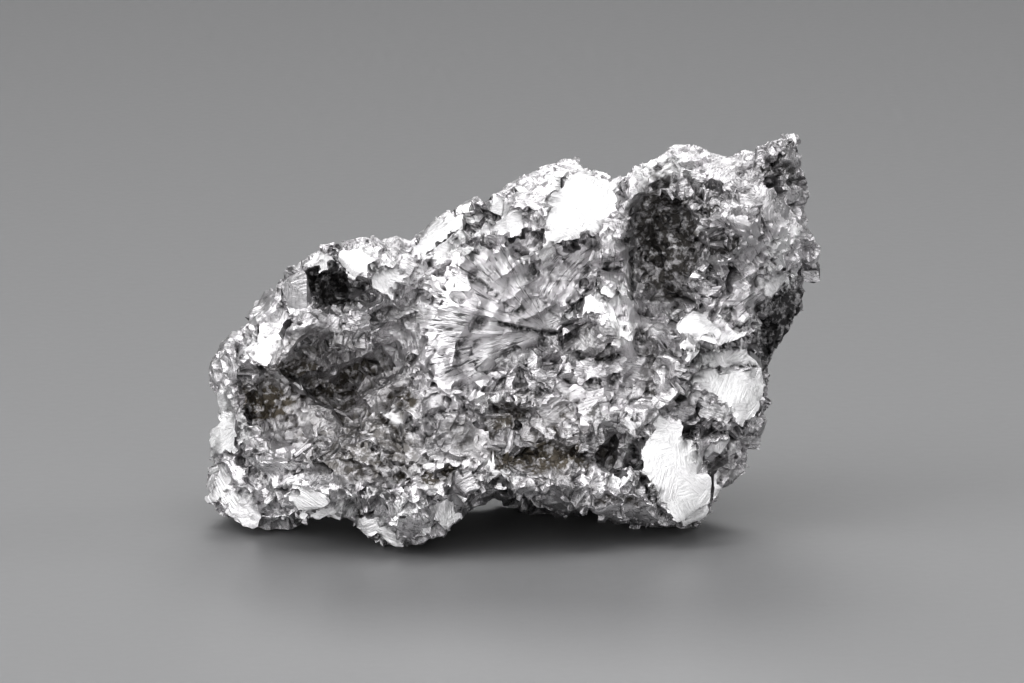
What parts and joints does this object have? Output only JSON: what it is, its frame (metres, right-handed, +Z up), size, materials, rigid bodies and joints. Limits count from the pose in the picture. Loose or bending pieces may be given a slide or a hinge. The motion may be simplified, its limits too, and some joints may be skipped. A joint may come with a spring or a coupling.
{
  "type": "chromium specimen",
  "caption": "Broken lump of bright chromium metal with cleaved facets, ledges, scoops and pits, resting on its own low feet.",
  "frame": {"origin": "middle of the bounding box in X and Y, on the ground that the lump's feet rest on", "axes": "+Z up, +X along the lump's length to the viewer's right, -Y towards the viewer of the cleaved front"},
  "size_m": [0.05, 0.0336, 0.0324],
  "materials": {
    "chromium": "bright fractured metal, satin to mirror facets with dull grey pits"
  },
  "bodies": {
    "root": {"chromium_lump": "chromium"}
  },
  "joints": []
}
